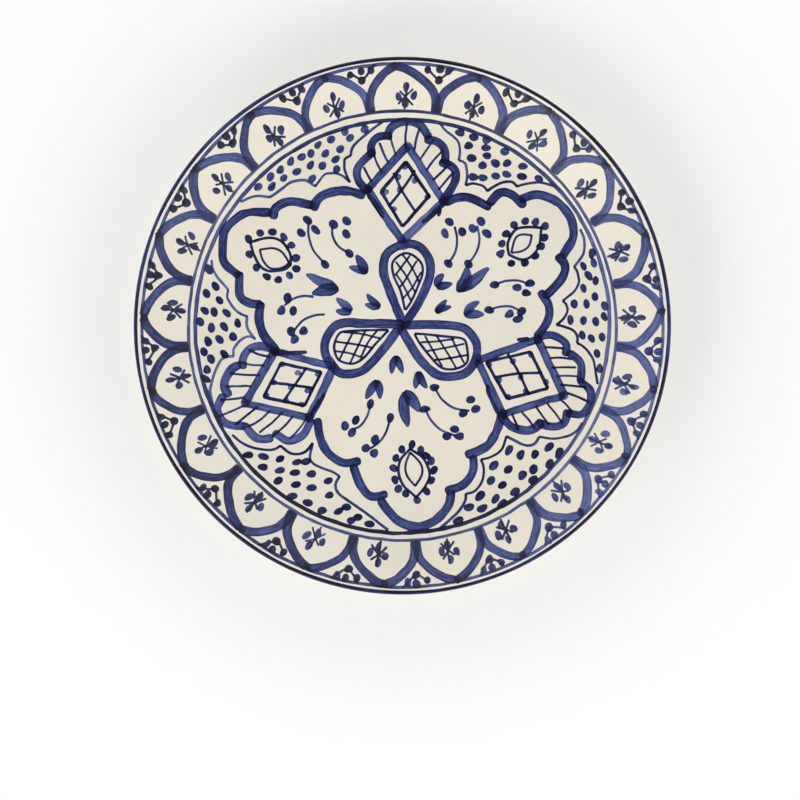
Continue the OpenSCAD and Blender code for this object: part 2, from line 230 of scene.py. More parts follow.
CELL = 0.25
SIDE = int(DRAWN_D / CELL) + 9
EDGE = 0.22         # width of the soft edge of a stroke
UNDER = 0.02        # how far a stroke's edges sink into what they lie on
OVERLAP = 0.6       # share of the fainter stroke that shows where two cross
FLAT = 9            # how flat a stroke's back is before it falls to its edges
BELOW = 0.055       # how far its underside lies below that again, to clear the bend's hollow


class Laid:
    """Colour laid on the plate so far, in plan: how much, and how thick."""

    def __init__(self):
        self.ink = np.zeros((SIDE, SIDE))
        self.height = np.zeros((SIDE, SIDE))

    @staticmethod
    def place(xy):
        return xy / CELL + SIDE / 2

    def read(self, grid, xy):
        p = np.clip(self.place(xy), 0, SIDE - 2)
        i, f = p.astype(int), p - p.astype(int)
        x, y, fx, fy = i[:, 0], i[:, 1], f[:, 0], f[:, 1]
        return (grid[x, y] * (1 - fx) * (1 - fy) + grid[x + 1, y] * fx * (1 - fy)
                + grid[x, y + 1] * (1 - fx) * fy + grid[x + 1, y + 1] * fx * fy)

    def lay(self, xy, ink, height):
        """Adds one stroke, given as closely spaced points."""
        cell = np.clip(np.rint(self.place(xy)).astype(int), 0, SIDE - 1)
        low, high = cell.min(0), cell.max(0) + 1
        x, y = (cell - low).T
        for grid, values, add in ((self.ink, ink, True), (self.height, height, False)):
            part = np.zeros(high - low)
            np.maximum.at(part, (x, y), values)
            view = grid[low[0]:high[0], low[1]:high[1]]
            both = np.minimum(view, part) * OVERLAP if add else 0
            view[:] = np.maximum(view, part) + both


laid = Laid()
groups = {}


def spline(points, step, closed=False):
    """Points at an even spacing on a smooth line through the given ones."""
    p = np.array(points, dtype=float)
    if len(p) == 2 and not closed:
        fine = p[0] + np.linspace(0, 1, 40)[:, None] * (p[1] - p[0])
    else:
        if closed:
            p = np.concatenate([p[-1:], p, p[:2]])
        else:
            p = np.concatenate([[2 * p[0] - p[1]], p, [2 * p[-1] - p[-2]]])
        a, b, c, d = p[:-3, None], p[1:-2, None], p[2:-1, None], p[3:, None]
        t = np.linspace(0, 1, 24, endpoint=False)[None, :, None]
        fine = 0.5 * (2 * b + (c - a) * t + (2 * a - 5 * b + 4 * c - d) * t ** 2
                      + (3 * b - a - 3 * c + d) * t ** 3)
        fine = np.concatenate([fine.reshape(-1, 2), p[-2:-1]])
    gone = np.concatenate([[0], np.cumsum(np.linalg.norm(np.diff(fine, axis=0), axis=1))])
    n = max(3, int(math.ceil(gone[-1] / step)) + 1)
    s = np.linspace(0, gone[-1], n)
    return np.stack([np.interp(s, gone, fine[:, k]) for k in (0, 1)], 1), s


def tremor(s, size, wave):
    """A slow random wander along a stroke, as a hand makes."""
    n = max(4, int(s[-1] / wave) + 4)
    knots = rng.normal(0, size, n)
    x = s / max(s[-1], 1e-6) * (n - 2)
    i = x.astype(int)
    f = x - i
    f = f * f * (3 - 2 * f)
    return knots[i] * (1 - f) + knots[i + 1] * f


def soft(x):
    x = np.clip(x, 0, 1)
    return x * x * (3 - 2 * x)


def drape(xy, lift):
    """Plan points laid on the face and raised by lift along its normal."""
    r = np.hypot(xy[:, 0], xy[:, 1])
    k = face_slope(r)
    n = 1 / np.sqrt(1 + k * k)
    push = -k * n * lift / np.maximum(r, 1e-6)
    return np.stack([xy[:, 0] * (1 + push), xy[:, 1] * (1 + push), face_z(r) + n * lift], 1)


def belly(row, rows, columns, inner):
    """Indices across the underside of a ribbon at one row, from edge to edge."""
    first = rows * columns + row * inner
    return [row * columns] + list(range(first, first + inner)) + [(row + 1) * columns - 1]


def keep(group, plan, lift, faces, brush):
    """Stores a finished ribbon or dot until all the colour is laid."""
    groups.setdefault(group, []).append((plan, lift, faces, brush))


def press(mark, coarse, fine):
    """Lays a mark's fine points on what is there, and gives its coarse points, the height
    of its lens and its lift over the face."""
    xy, _, lens = mark(*coarse)
    lift = laid.read(laid.height, xy) - UNDER + lens
    fine_xy, density, fine_lens = mark(*fine)
    laid.lay(fine_xy, density, np.maximum(laid.read(laid.height, fine_xy) + fine_lens - UNDER, 0))
    return xy, lens, lift


def lengthened(points, first, last):
    """The points with each end carried on straight."""
    p = np.array(points, dtype=float)
    a, b = p[0] - p[1], p[-1] - p[-2]
    p[0] += a / np.linalg.norm(a) * first
    p[-1] += b / np.linalg.norm(b) * last
    return p


def ribbon(group, points, width, ink=1.0, ends=(0.5, 0.5), pool=(0.25, 0.35), crown=0.05,
           columns=None, shape=None, closed=False, shake=1.0, step=0.6, over=(0, 0)):
    """One brush stroke along the points. ends are how far the width rounds in at each end,
    as a share of the width; pool is the extra colour left where the brush lands and lifts;
    over is how far the stroke runs on past its first and last points. ink is a number, or
    a function of the share of the stroke that has been drawn."""
    half = width / 2
    columns = columns or (9 if width > 3 else 7 if width > 1.8 else 5)
    if any(over):
        points = lengthened(points, *over)
    line, s = spline(points, step, closed)
    along = np.gradient(line, axis=0)
    if closed:
        along[0] = along[-1] = line[1] - line[-2]
    along /= np.linalg.norm(along, axis=1)[:, None]
    side = np.stack([-along[:, 1], along[:, 0]], 1)
    fade = soft(np.minimum(s, s[-1] - s) / (20 if closed else 3))
    line = line + side * (tremor(s, 0.05 * shake * width ** 0.5, 7) * fade)[:, None]
    w = half * (1 + tremor(s, 0.045 * shake, 5) * fade)
    if shape is not None:
        w = half * shape(s / s[-1]) * (1 + tremor(s, 0.03, 4))
    elif not closed:
        for end, away in ((ends[0], s), (ends[1], s[-1] - s)):
            reach = max(end * width, 0.2)
            near = np.clip(away / reach, 0, 1)
            w = w * np.sqrt(np.clip(1 - (1 - near) ** 2, 0.0004, 1))
    load = ink(s / s[-1]) if callable(ink) else ink
    load = load * (1 + tremor(s, 0.07, 9) * (fade if closed else 1))
    if not closed:
        spread = 0.7 * width
        load = load * (1 + pool[0] * np.exp(-s / spread) + pool[1] * np.exp((s - s[-1]) / spread))
    seed = rng.uniform(0, 60)

    def sheet(rows, across):
        """Plan points, soft ink and lens height of the stroke at rows x across."""
        base = np.stack([np.interp(rows, s, line[:, k]) for k in (0, 1)], 1)
        out = np.stack([np.interp(rows, s, side[:, k]) for k in (0, 1)], 1)
        ww = np.interp(rows, s, w)[:, None]
        reach = ww + EDGE / 2
        xy = base[:, None] + out[:, None] * (across[None] * reach)[:, :, None]
        dist = np.abs(across)[None] * reach
        dens = np.interp(rows, s, load)[:, None] * soft((ww + EDGE / 2 - dist) / EDGE)
        dens = dens * (0.84 + 0.36 * np.abs(across)[None] ** 3)
        lens = (crown + UNDER) * (1 - np.abs(across)[None] ** FLAT) * np.ones_like(ww)
        lens = lens * np.clip(ww / half, 0.1, 1)
        return xy.reshape(-1, 2), dens.ravel(), lens.ravel()

    across = np.sin(np.linspace(-0.5, 0.5, columns) * math.pi)
    xy, lens, lift = press(sheet, (s, across), (np.linspace(0, s[-1], max(4, int(s[-1] / 0.14))),
                                                np.linspace(-1, 1, max(7, int((width + EDGE) / 0.13)))))
    c = columns
    if closed:
        s, xy, lift = s[:-1], xy[:-c], lift[:-c]
    rows = len(s)
    inner = np.arange(2, c - 2, 2)
    under = (np.arange(rows)[:, None] * c + inner).ravel()
    faces = []
    for i in range(rows if closed else rows - 1):
        j = (i + 1) % rows
        a, b = i * c, j * c
        faces += [(a + k, a + k + 1, b + k + 1, b + k) for k in range(c - 1)]
        p, q = belly(i, rows, c, len(inner)), belly(j, rows, c, len(inner))
        faces += [(p[k], q[k], q[k + 1], p[k + 1]) for k in range(len(p) - 1)]
    if not closed:
        for i, way in ((0, -1), (rows - 1, 1)):
            rim = list(range(i * c, (i + 1) * c)) + belly(i, rows, c, len(inner))[-2:0:-1]
            faces.append(tuple(rim[::way]))
    rowwise = np.repeat(s, c)
    brush = np.stack([rowwise, np.tile(across, len(s)) * half, np.full(len(rowwise), seed)], 1)
    keep(group, np.concatenate([xy, xy[under]]),
         np.concatenate([lift, lift[under] - lens[under] - BELOW]), faces,
         np.concatenate([brush, brush[under]]))


def dab(group, centre, a, b, turn=0.0, ink=1.0, tail=0.0, crown=0.05, rough=0.035):
    """One touch of the brush: an oval a x b, with a fainter tail where the brush lifts."""
    spokes = 18
    ang = np.linspace(0, 2 * math.pi, spokes, endpoint=False)
    bumps = 1 + rough * (rng.normal() * np.cos(2 * ang + rng.uniform(0, 6))
                         + rng.normal() * np.cos(3 * ang + rng.uniform(0, 6)))
    stretch = 1 + tail * np.clip(np.cos(ang), 0, 1) ** 3
    ct, st = math.cos(turn), math.sin(turn)
    seed = rng.uniform(0, 60)

    def disc(ring, phi, bump):
        reach = (ring * (1 + EDGE / (a + b)))[:, None] * bump[None]
        x, y = reach * np.cos(phi)[None] * a / 2, reach * np.sin(phi)[None] * b / 2
        xy = np.stack([centre[0] + x * ct - y * st, centre[1] + x * st + y * ct], 2)
        r = np.broadcast_to(ring[:, None], x.shape)
        dens = ink * soft((1 - r) * (a + b + EDGE) / 4 / EDGE) * (0.92 + 0.12 * r ** 2)
        dens = dens * (1 - 0.35 * min(tail * 2, 1) * soft(x * 2 / a - 0.4))
        return xy.reshape(-1, 2), dens.ravel(), ((crown + UNDER) * (1 - r ** FLAT)).ravel()

    ring = np.array([0, 0.45, 1 - min(4 * EDGE / (a + b + EDGE), 0.5), 1.0])
    phi = np.linspace(0, 2 * math.pi, 96, endpoint=False)
    edge = bumps * stretch
    fine = np.interp(phi, np.append(ang, 2 * math.pi), np.append(edge, edge[0]))
    xy, lens, lift = press(disc, (ring, ang, edge), (np.linspace(0, 1, max(8, int(a / 0.2))), phi, fine))

    # Its centre, three rings of its top, and the centre of its underside
    xy = np.concatenate([xy[:1], xy[spokes:], xy[:1]])
    lift = np.concatenate([lift[:1], lift[spokes:], lift[:1] - lens[0] - BELOW])
    wheel = [(k, (k + 1) % spokes) for k in range(spokes)]
    faces = [(0, 1 + k, 1 + n) for k, n in wheel]
    for p in (1, 1 + spokes):
        q = p + spokes
        faces += [(p + k, q + k, q + n, p + n) for k, n in wheel]
    faces += [(1 + 3 * spokes, q + n, q + k) for k, n in wheel]
    brush = np.stack([xy[:, 0] * ct + xy[:, 1] * st, xy[:, 1] * ct - xy[:, 0] * st,
                      np.full(len(xy), seed)], 1)
    keep(group, xy, lift, faces, brush)


class Arm:
    """Drawing axes turned to an angle: u to the right, v outwards from the plate's centre."""

    def __init__(self, angle):
        a = math.radians(angle)
        self.angle = a
        self.ex = np.array([math.sin(a), -math.cos(a)])
        self.ey = np.array([math.cos(a), math.sin(a)])

    def at(self, points):
        p = np.atleast_2d(np.array(points, dtype=float))
        return p[:, :1] * self.ex + p[:, 1:2] * self.ey

    def turn(self, degrees):
        """Plan angle of a direction given anticlockwise from u."""
        return self.angle - math.pi / 2 + math.radians(degrees)


def mm(run):
    """Points from a flat run of u, v, u, v and so on in tenths of a millimetre."""
    return np.reshape(run, (-1, 2)) / 10


def jitter(size):
    return rng.normal(0, size, 2)


def pick(value):
    """The value, or one drawn from a range given as a pair."""
    return rng.uniform(*value) if isinstance(value, tuple) else value


def strokes(group, arm, runs, width, ink, times=1, **how):
    """One brush stroke along each run, in an arm's axes."""
    for run in runs:
        ribbon(group, arm.at(mm(run)), pick(width), pick(ink) * times, **how)


def by_angle(*values):
    """Depth of colour round a ring, from readings 30 degrees apart that start at -180."""
    return lambda share: np.interp(share * 360, np.arange(-180, 180, 30), values, period=360)


def wheel_line(group, radius, width, ink, wander):
    """A line drawn by touching a brush to the turning plate, darker where it is overfull."""
    a = np.linspace(0, 2 * math.pi, 220, endpoint=False)
    sway = np.cos(2 * a + rng.uniform(0, 6)) + 0.6 * np.cos(3 * a + rng.uniform(0, 6))
    r = radius + wander * sway
    ring = np.stack([r * np.cos(a), r * np.sin(a)], 1)
    ribbon(group, ring, width, ink, closed=True, crown=0.035, columns=7, shake=1.6, step=0.9)


def leaf(group, base, tip, width, ink, dark=1.5, heel=1.0):
    """A leaf pressed from a full brush: round dark base, fullest before the middle, pointed tip."""
    bow = np.array([base[1] - tip[1], tip[0] - base[0]]) * rng.normal(0, 0.05)

    def petal(t):
        low = np.sqrt(np.clip(1 - ((0.38 - t) / 0.4) ** 2, 0.003, 1)) ** heel
        return np.where(t < 0.38, low, 1 - 0.92 * np.clip((t - 0.38) / 0.62, 0, 1) ** 2)

    ribbon(group, [base, (base + tip) / 2 + bow, tip], width, ink, pool=(dark, 0.1), shape=petal,
           columns=9, step=0.5)


# ---------------------------------------------------------------- border

ARCH_TIPS = [178, 159.5, 143, 125.5, 107.5, 91.5, 73, 55.5, 38.5, 20.5, 3.5, -14, -30.5, -46.5,
             -62.5, -78, -94, -111.5, -128.5, -147, -165.5]
ARCH_VALLEYS = [168, 150.5, 133, 115.5, 98.5, 81, 63.5, 45.5, 28.5, 11, -5.5, -22.5, -38, -54,
                -69.5, -86.5, -103, -120.5, -139, -157.5, -174.5]
ARCH_STARS = [176.2, 159.4, 141.5, 124, 107, 89.7, 72.4, 54.4, 37, 19.3, 2.6, -14.7, -30.3, -46.5,
              -62.6, -78.5, -95.4, -112.2, -129.8, -148.2, -166.8]
# One side of an arch, from the stem it shares with its neighbour to its tip:
# radius as a share of the plate's, and share of the turn from valley to tip
ARCH_SIDE = [(0.803, 0.03), (0.837, 0.045), (0.865, 0.10), (0.891, 0.215), (0.917, 0.41),
             (0.9456, 0.68), (0.964, 0.97)]


def polar(radius_share, degrees):
    a = math.radians(degrees)
    return HALF_D * radius_share * np.array([math.cos(a), math.sin(a)])


def paint_arches():
    for valley in ARCH_VALLEYS:
        for way in (1, -1):
            gaps = [((tip - valley + 180) % 360 - 180) * way for tip in ARCH_TIPS]
            reach = min(g for g in gaps if g > 0)
            line = [polar(r, valley + way * share * reach) for r, share in ARCH_SIDE]
            ribbon("border_arches", line[::-1], rng.uniform(4.6, 5.3),
                   ARCH_TONE(valley / 360) * rng.uniform(0.85, 1.2), ends=(0.3, 0.2), pool=(0.35, 0.3),
                   shake=0.8, over=(0.8, 0.4))
    for tip in ARCH_TIPS:
        turn = math.radians(tip + rng.uniform(-35, 35))
        dab("border_arches", polar(rng.uniform(0.958, 0.965), tip + rng.uniform(-0.3, 0.3)),
            rng.uniform(4.2, 5.2), rng.uniform(3.6, 4.4), turn, 0.9 + 0.7 * ARCH_TONE(tip / 360), rough=0.06)


ARCH_TONE = by_angle(1.15, 1.35, 1.1, 1.1, 0.85, 0.66, 0.62, 0.82, 1.02, 0.95, 1.0, 0.95)
STAR_TONE = by_angle(1.4, 1.35, 1.1, 1.6, 1.05, 0.75, 0.9, 1.1, 1.5, 1.5, 1.35, 1.3)
STAR_LEAVES = [(0.1, 5.2, 3.7, 5.4, 0), (-4.5, 0.6, 3.9, 5.1, 18), (4.8, 0.5, 3.9, 5.5, -16),
               (0.3, -3.9, 3.9, 5.4, 0)]


def paint_stars():
    for angle in ARCH_STARS:
        arm = Arm(angle + rng.normal(0, 0.3))
        centre = arm.at([(0, 0.852 * HALF_D)])[0]
        lean = Arm(angle + rng.normal(0, 4))
        ink = STAR_TONE(angle / 360) * rng.uniform(0.85, 1.15)

        def spot(u, v, shake=0.25):
            return centre + lean.at([(u, v)])[0] + jitter(shake)

        for u, v, wide, long, tilt in STAR_LEAVES:
            dab("border_stars", spot(u, v, 0.5), long * rng.uniform(0.9, 1.12),
                wide * rng.uniform(0.88, 1.1), lean.turn(90 + tilt + rng.normal(0, 9)),
                ink * rng.uniform(0.7, 1.1), tail=rng.uniform(0, 0.2), rough=0.045)
        thin = rng.uniform(1.1, 1.4)
        ribbon("border_stars", [spot(0, -7.4), spot(0, 0), spot(0.2, rng.uniform(6.4, 8.4))], thin,
               ink * 1.1)
        ribbon("border_stars", [spot(-4.3, -4.9), spot(-0.2, 0), spot(4.3, 4.6)], thin, ink)
        ribbon("border_stars", [spot(4.4, -4.5), spot(0.2, -0.1), spot(-3.9, 3.2)], thin, ink)


BERRY_TONE = by_angle(2.0, 2.0, 1.7, 1.35, 0.95, 0.8, 1.05, 1.6, 2.1, 2.1, 2.0, 2.0)
BERRIES = [(-6.6, -0.9, 4.7, 4.3, 1.0), (0.1, 0.1, 4.7, 4.5, 1.0), (5.1, -0.3, 4.9, 3.8, 0.65),
           (0.1, -5.1, 5.2, 4.9, 1.1)]


def paint_berries():
    for angle in ARCH_VALLEYS:
        arm = Arm(angle + rng.normal(0, 0.25))
        ink = BERRY_TONE(angle / 360) * rng.uniform(0.9, 1.1)
        r = HALF_D * 0.957
        v_line = arm.at([(-7.2, r + 0.6), (-4, r - 2.4), (0, r - 5.4)])
        w_line = arm.at([(0, r - 5.4), (4.2, r - 1.4), (8.2, r + 2.4)])
        for line in (v_line, w_line):
            ribbon("border_berries", line + jitter(0.15), 1.35, ink * 0.8)
        for u, v, a, b, share in BERRIES:
            dab("border_berries", arm.at([(u, r + v)])[0] + jitter(0.4), a * rng.uniform(0.95, 1.15),
                b * rng.uniform(0.92, 1.1), arm.turn(rng.uniform(40, 120)), ink * share, rough=0.045)


# ---------------------------------------------------------------- the figure in the well

# The three copies of the figure differ, as hand painting does, so each is given in its own
# arm's axes. Lines and dots are flat runs of u, v in tenths of a millimetre.

# Arm, loop, inner line and lattice
TEARDROPS = [
    (90, [6, -10, -10, 40, -40, 120, -80, 220, -110, 320, -95, 410, -30, 460, 40, 475, 110, 450, 155, 380,
     160, 300, 130, 210, 80, 110, 30, 40, 0, -10], [15, 90, -10, 200, -50, 290, -60, 350, -40, 390, 10, 420,
     60, 410, 110, 360, 115, 300, 90, 230, 50, 140, 15, 90], [[45, 410, -8, 338, -44, 290], [85, 380, 26,
     283, -18, 220], [110, 315, 57, 223, 0, 155], [-40, 375, 26, 283, 76, 190], [0, 415, 58, 330, 98, 250],
     [-36, 300, 0, 245, 50, 145]]),
    (-25, [0, -5, -24, 40, -80, 150, -130, 280, -135, 350, -90, 430, 0, 465, 90, 445, 150, 370, 170, 290,
     130, 170, 60, 60, 10, -10], [10, 80, -20, 160, -50, 250, -80, 340, -60, 380, 20, 425, 80, 400, 120, 330,
     110, 260, 50, 140, 10, 80], [[45, 415, -10, 345, -60, 285], [90, 385, 30, 300, -34, 200], [116, 310, 60,
     230, -5, 140], [-60, 370, 5, 285, 74, 185], [-10, 415, 50, 330, 102, 245], [-60, 305, -5, 220, 40,
     135]]),
    (-153, [10, -5, -8, 40, -60, 140, -110, 260, -125, 340, -90, 430, -30, 460, 50, 470, 120, 440, 170, 370,
     170, 300, 110, 180, 40, 50, 0, -15], [15, 80, -20, 180, -60, 280, -65, 350, -20, 410, 20, 420, 80, 400,
     125, 350, 120, 300, 60, 170, 15, 80], [[50, 415, 0, 345, -58, 290], [96, 385, 40, 305, -30, 215], [124,
     320, 65, 230, -5, 145], [-60, 375, 10, 285, 76, 200], [-10, 415, 55, 330, 108, 260], [-54, 300, 5, 220,
     44, 140]]),
]

# Arm, outline, inner line, two crossing lines, watery touches, fan edge, fan ribs
DIAMONDS = [
    (90, [30, 1040, 240, 720, 0, 490, -200, 790], [20, 950, 155, 750, 0, 575, -125, 775], [[-50, 880, 5,
     770, 75, 660], [70, 895, 0, 790, -76, 695]], [70, 840, 146, 746, -96, 774, -50, 675, -16, 790, -24, 860,
     15, 920], [[-200, 780, -255, 840, -255, 920, -175, 1000], [-175, 990, -180, 1040, -140, 1090, -75,
     1095], [-85, 1090, -60, 1150, 20, 1180, 100, 1160, 150, 1095], [140, 1075, 200, 1065, 245, 1015, 245,
     950], [225, 945, 290, 915, 305, 840, 240, 730]], [[-220, 910, -180, 835], [-164, 990, -120, 890], [-130,
     1050, -80, 940], [-70, 1100, -40, 995], [25, 1160, 20, 1030], [95, 1130, 70, 1020], [176, 1070, 105,
     965], [230, 1010, 140, 900], [270, 930, 180, 845], [290, 880, 210, 790]]),
    (-30, [-120, 1010, 150, 760, -45, 475, -324, 715], [-108, 908, 62, 735, -62, 524, -242, 715], [[-168,
     830, -100, 720, -15, 616], [-24, 830, -100, 720, -164, 610]], [-29, 806, -85, 740, -143, 655, -9, 640,
     -58, 544, -228, 724, 48, 736, -134, 880], [[-346, 720, -384, 770, -392, 830, -376, 880, -334, 896],
     [-346, 918, -338, 986, -300, 1023, -244, 1046], [-236, 1050, -224, 1116, -176, 1154, -123, 1163, -70,
     1146, -44, 1086], [-46, 1070, 4, 1086, 50, 1066, 82, 1010, 86, 970], [80, 964, 120, 962, 170, 910, 186,
     830, 164, 754]], [[-348, 860, -303, 770], [-320, 935, -268, 835], [-290, 980, -225, 870], [-250, 1015,
     -198, 920], [-220, 1090, -165, 965], [-158, 1145, -142, 1020], [-65, 1090, -88, 1000], [18, 1068, -30,
     950], [67, 1010, 20, 905], [125, 950, 88, 850], [175, 870, 126, 805]]),
    (-150, [69, 1010, 242, 714, -6, 460, -190, 730], [46, 900, 165, 715, 4, 538, -116, 720], [[-36, 816, 15,
     712, 68, 604], [100, 820, 15, 712, -50, 628]], [48, 880, 89, 806, -37, 798, 16, 734, 68, 658, -49, 660,
     -102, 730, 156, 712, 4, 560], [[-210, 730, -250, 794, -260, 854, -236, 910, -170, 946], [-180, 980,
     -160, 1030, -120, 1062, -46, 1074], [-40, 1080, -14, 1126, 30, 1166, 80, 1176, 130, 1158, 166, 1104],
     [158, 1066, 204, 1068, 250, 1034, 278, 976, 276, 934], [256, 914, 296, 894, 326, 834, 310, 770, 268,
     726]], [[-235, 880, -185, 746], [-173, 960, -138, 816], [-119, 1015, -88, 854], [-58, 1050, -42, 910],
     [-8, 1108, 13, 960], [77, 1168, 58, 1010], [150, 1114, 100, 994], [200, 1046, 135, 930], [254, 990, 169,
     860], [285, 914, 204, 808], [316, 832, 229, 750]]),
]

# Arm, depth of colour, strokes
LOBED_FRAMES = [
    (150, 1.1, [[-486, 560, -466, 620, -432, 686, -370, 742, -304, 770], [-300, 774, -328, 840, -310, 906,
     -214, 964], [-220, 970, -200, 1070, -130, 1126, -30, 1163, 80, 1130, 140, 1076, 180, 1000], [170, 960,
     230, 974, 300, 920, 340, 810], [330, 780, 380, 790, 456, 750, 520, 660, 538, 580]]),
    (30, 1.15, [[-496, 570, -484, 640, -440, 710, -350, 774], [-360, 790, -384, 870, -340, 926, -260, 954],
     [-290, 960, -274, 1040, -220, 1100, -150, 1140, -50, 1150, 50, 1110, 110, 1010], [100, 980, 170, 986,
     230, 920, 260, 810], [230, 790, 320, 790, 396, 736, 436, 650]]),
    (-90, 1.1, [[-570, 510, -556, 574, -520, 652, -460, 712, -380, 740], [-410, 760, -406, 840, -350, 916,
     -264, 950], [-280, 960, -264, 1040, -200, 1114, -130, 1150, -64, 1156, 40, 1114, 120, 1010], [96, 970,
     180, 984, 240, 920, 280, 820], [250, 780, 340, 790, 430, 730, 480, 630, 488, 550]]),
]

# Thin dark tails of the lobed frames, along the diamonds' lower sides, in the diamonds' arms
DASHES = [
    (90, [[-200, 760, -110, 626], [239, 712, 170, 640, 113, 597], [220, 680, 206, 630]]),
    (-30, [[-304, 673, -260, 610], [164, 734, 92, 630, 50, 594]]),
    (-150, [[-185, 720, -114, 582], [224, 706, 144, 550]]),
]

# Arm, outline, inner line, dots
EYES = [
    (150, [[-20, 1004, -94, 920, -114, 840, -64, 760, -16, 736], [-20, 1004, 54, 926, 74, 850, 40, 774, -16,
     736]], [[-30, 934, -76, 884, -92, 826, -54, 770, -12, 750], [-30, 934, 12, 880, 24, 830, 10, 784, -12,
     750]], [-10, 1020, -80, 975, -130, 900, -146, 824, -124, 756, -74, 710, -20, 696, 32, 726, 84, 786, 104,
     850, 96, 920, 56, 978]),
    (30, [[-90, 980, -140, 900, -154, 840, -114, 770, -50, 738], [-90, 980, -10, 916, 22, 850, 10, 786, -50,
     738]], [[-80, 910, -114, 860, -110, 814, -52, 756], [-80, 910, -36, 864, -30, 810, -52, 756]], [-90,
     1004, -34, 964, 2, 920, 32, 866, 36, 794, 2, 724, -76, 700, -124, 734, -162, 784, -182, 850, -170, 916,
     -134, 968]),
    (-90, [[-80, 990, -142, 910, -154, 840, -116, 760, -44, 710], [-80, 990, -6, 920, 22, 846, 10, 770, -44,
     710]], [[-74, 924, -112, 860, -106, 796, -44, 730], [-74, 924, -26, 864, -18, 800, -44, 730]], [-86,
     1004, -22, 974, 22, 940, 44, 888, 52, 824, 40, 760, 4, 712, -56, 686, -104, 714, -140, 750, -168, 784,
     -184, 834, -170, 894, -140, 952]),
]

# Arm, then for each sprig its stem, three berries and whether a dot sits at its foot
SPRIGS = [
    (150, [([85, 565, 120, 660, 180, 730, 250, 770], [255, 780, 175, 775, 230, 710], True), ([210, 475, 214,
     550, 250, 610, 300, 640], [310, 640, 300, 550, 365, 580], True), ([-110, 525, -134, 580, -180, 626,
     -240, 650], [-270, 650, -190, 655, -240, 585], False), ([-165, 420, -200, 470, -260, 514, -340, 530],
     [-350, 545, -375, 500, -310, 480], False)]),
    (30, [([60, 580, 74, 650, 106, 710, 150, 750], [155, 760, 140, 685, 190, 715], True), ([170, 480, 184,
     540, 214, 596, 260, 630], [270, 640, 300, 600, 250, 570], True), ([-120, 510, -154, 580, -210, 634,
     -290, 665], [-300, 695, -220, 690, -285, 635], True), ([-180, 410, -220, 480, -280, 526, -350, 550],
     [-385, 535, -300, 570, -340, 480], True)]),
    (-90, [([70, 530, 94, 610, 134, 670, 190, 710], [210, 705, 165, 735, 160, 655], True), ([185, 450, 204,
     520, 240, 574, 290, 600], [295, 615, 335, 575, 270, 540], True), ([-130, 480, -170, 550, -230, 604,
     -310, 635], [-330, 635, -255, 635, -300, 595], True), ([-185, 355, -230, 426, -300, 474, -390, 490],
     [-425, 480, -350, 505, -395, 425], True)]),
]

# Arm, then leaves as base to tip, and width
LEAVES = [
    (150, [([6, 410, -20, 650], 7.2), ([6, 410, -110, 555], 8.2), ([162, 330, 140, 446], 5), ([156, 330,
     226, 446], 6.4), ([-66, 294, -48, 420], 5.4), ([-76, 294, -118, 384], 5.4), ([34, 164, 60, 280], 4.6),
     ([30, 164, 0, 258], 4.6)]),
    (30, [([-6, 360, -44, 620], 8), ([-4, 360, -124, 504], 8.2), ([126, 340, 100, 466], 5.4), ([124, 340,
     184, 450], 6.2), ([-100, 280, -144, 364], 5.4), ([-94, 280, -66, 380], 5.4), ([26, 204, -6, 304], 4.6),
     ([30, 204, 46, 310], 4.6)]),
    (-90, [([-10, 360, -36, 600], 7.8), ([-8, 360, -106, 506], 8), ([146, 310, 130, 430], 5.2), ([148, 310,
     216, 430], 5.8), ([-94, 260, -148, 366], 5.2), ([-92, 260, -72, 370], 5.2), ([34, 170, -6, 280], 4.8),
     ([36, 170, 64, 284], 4.8)]),
]

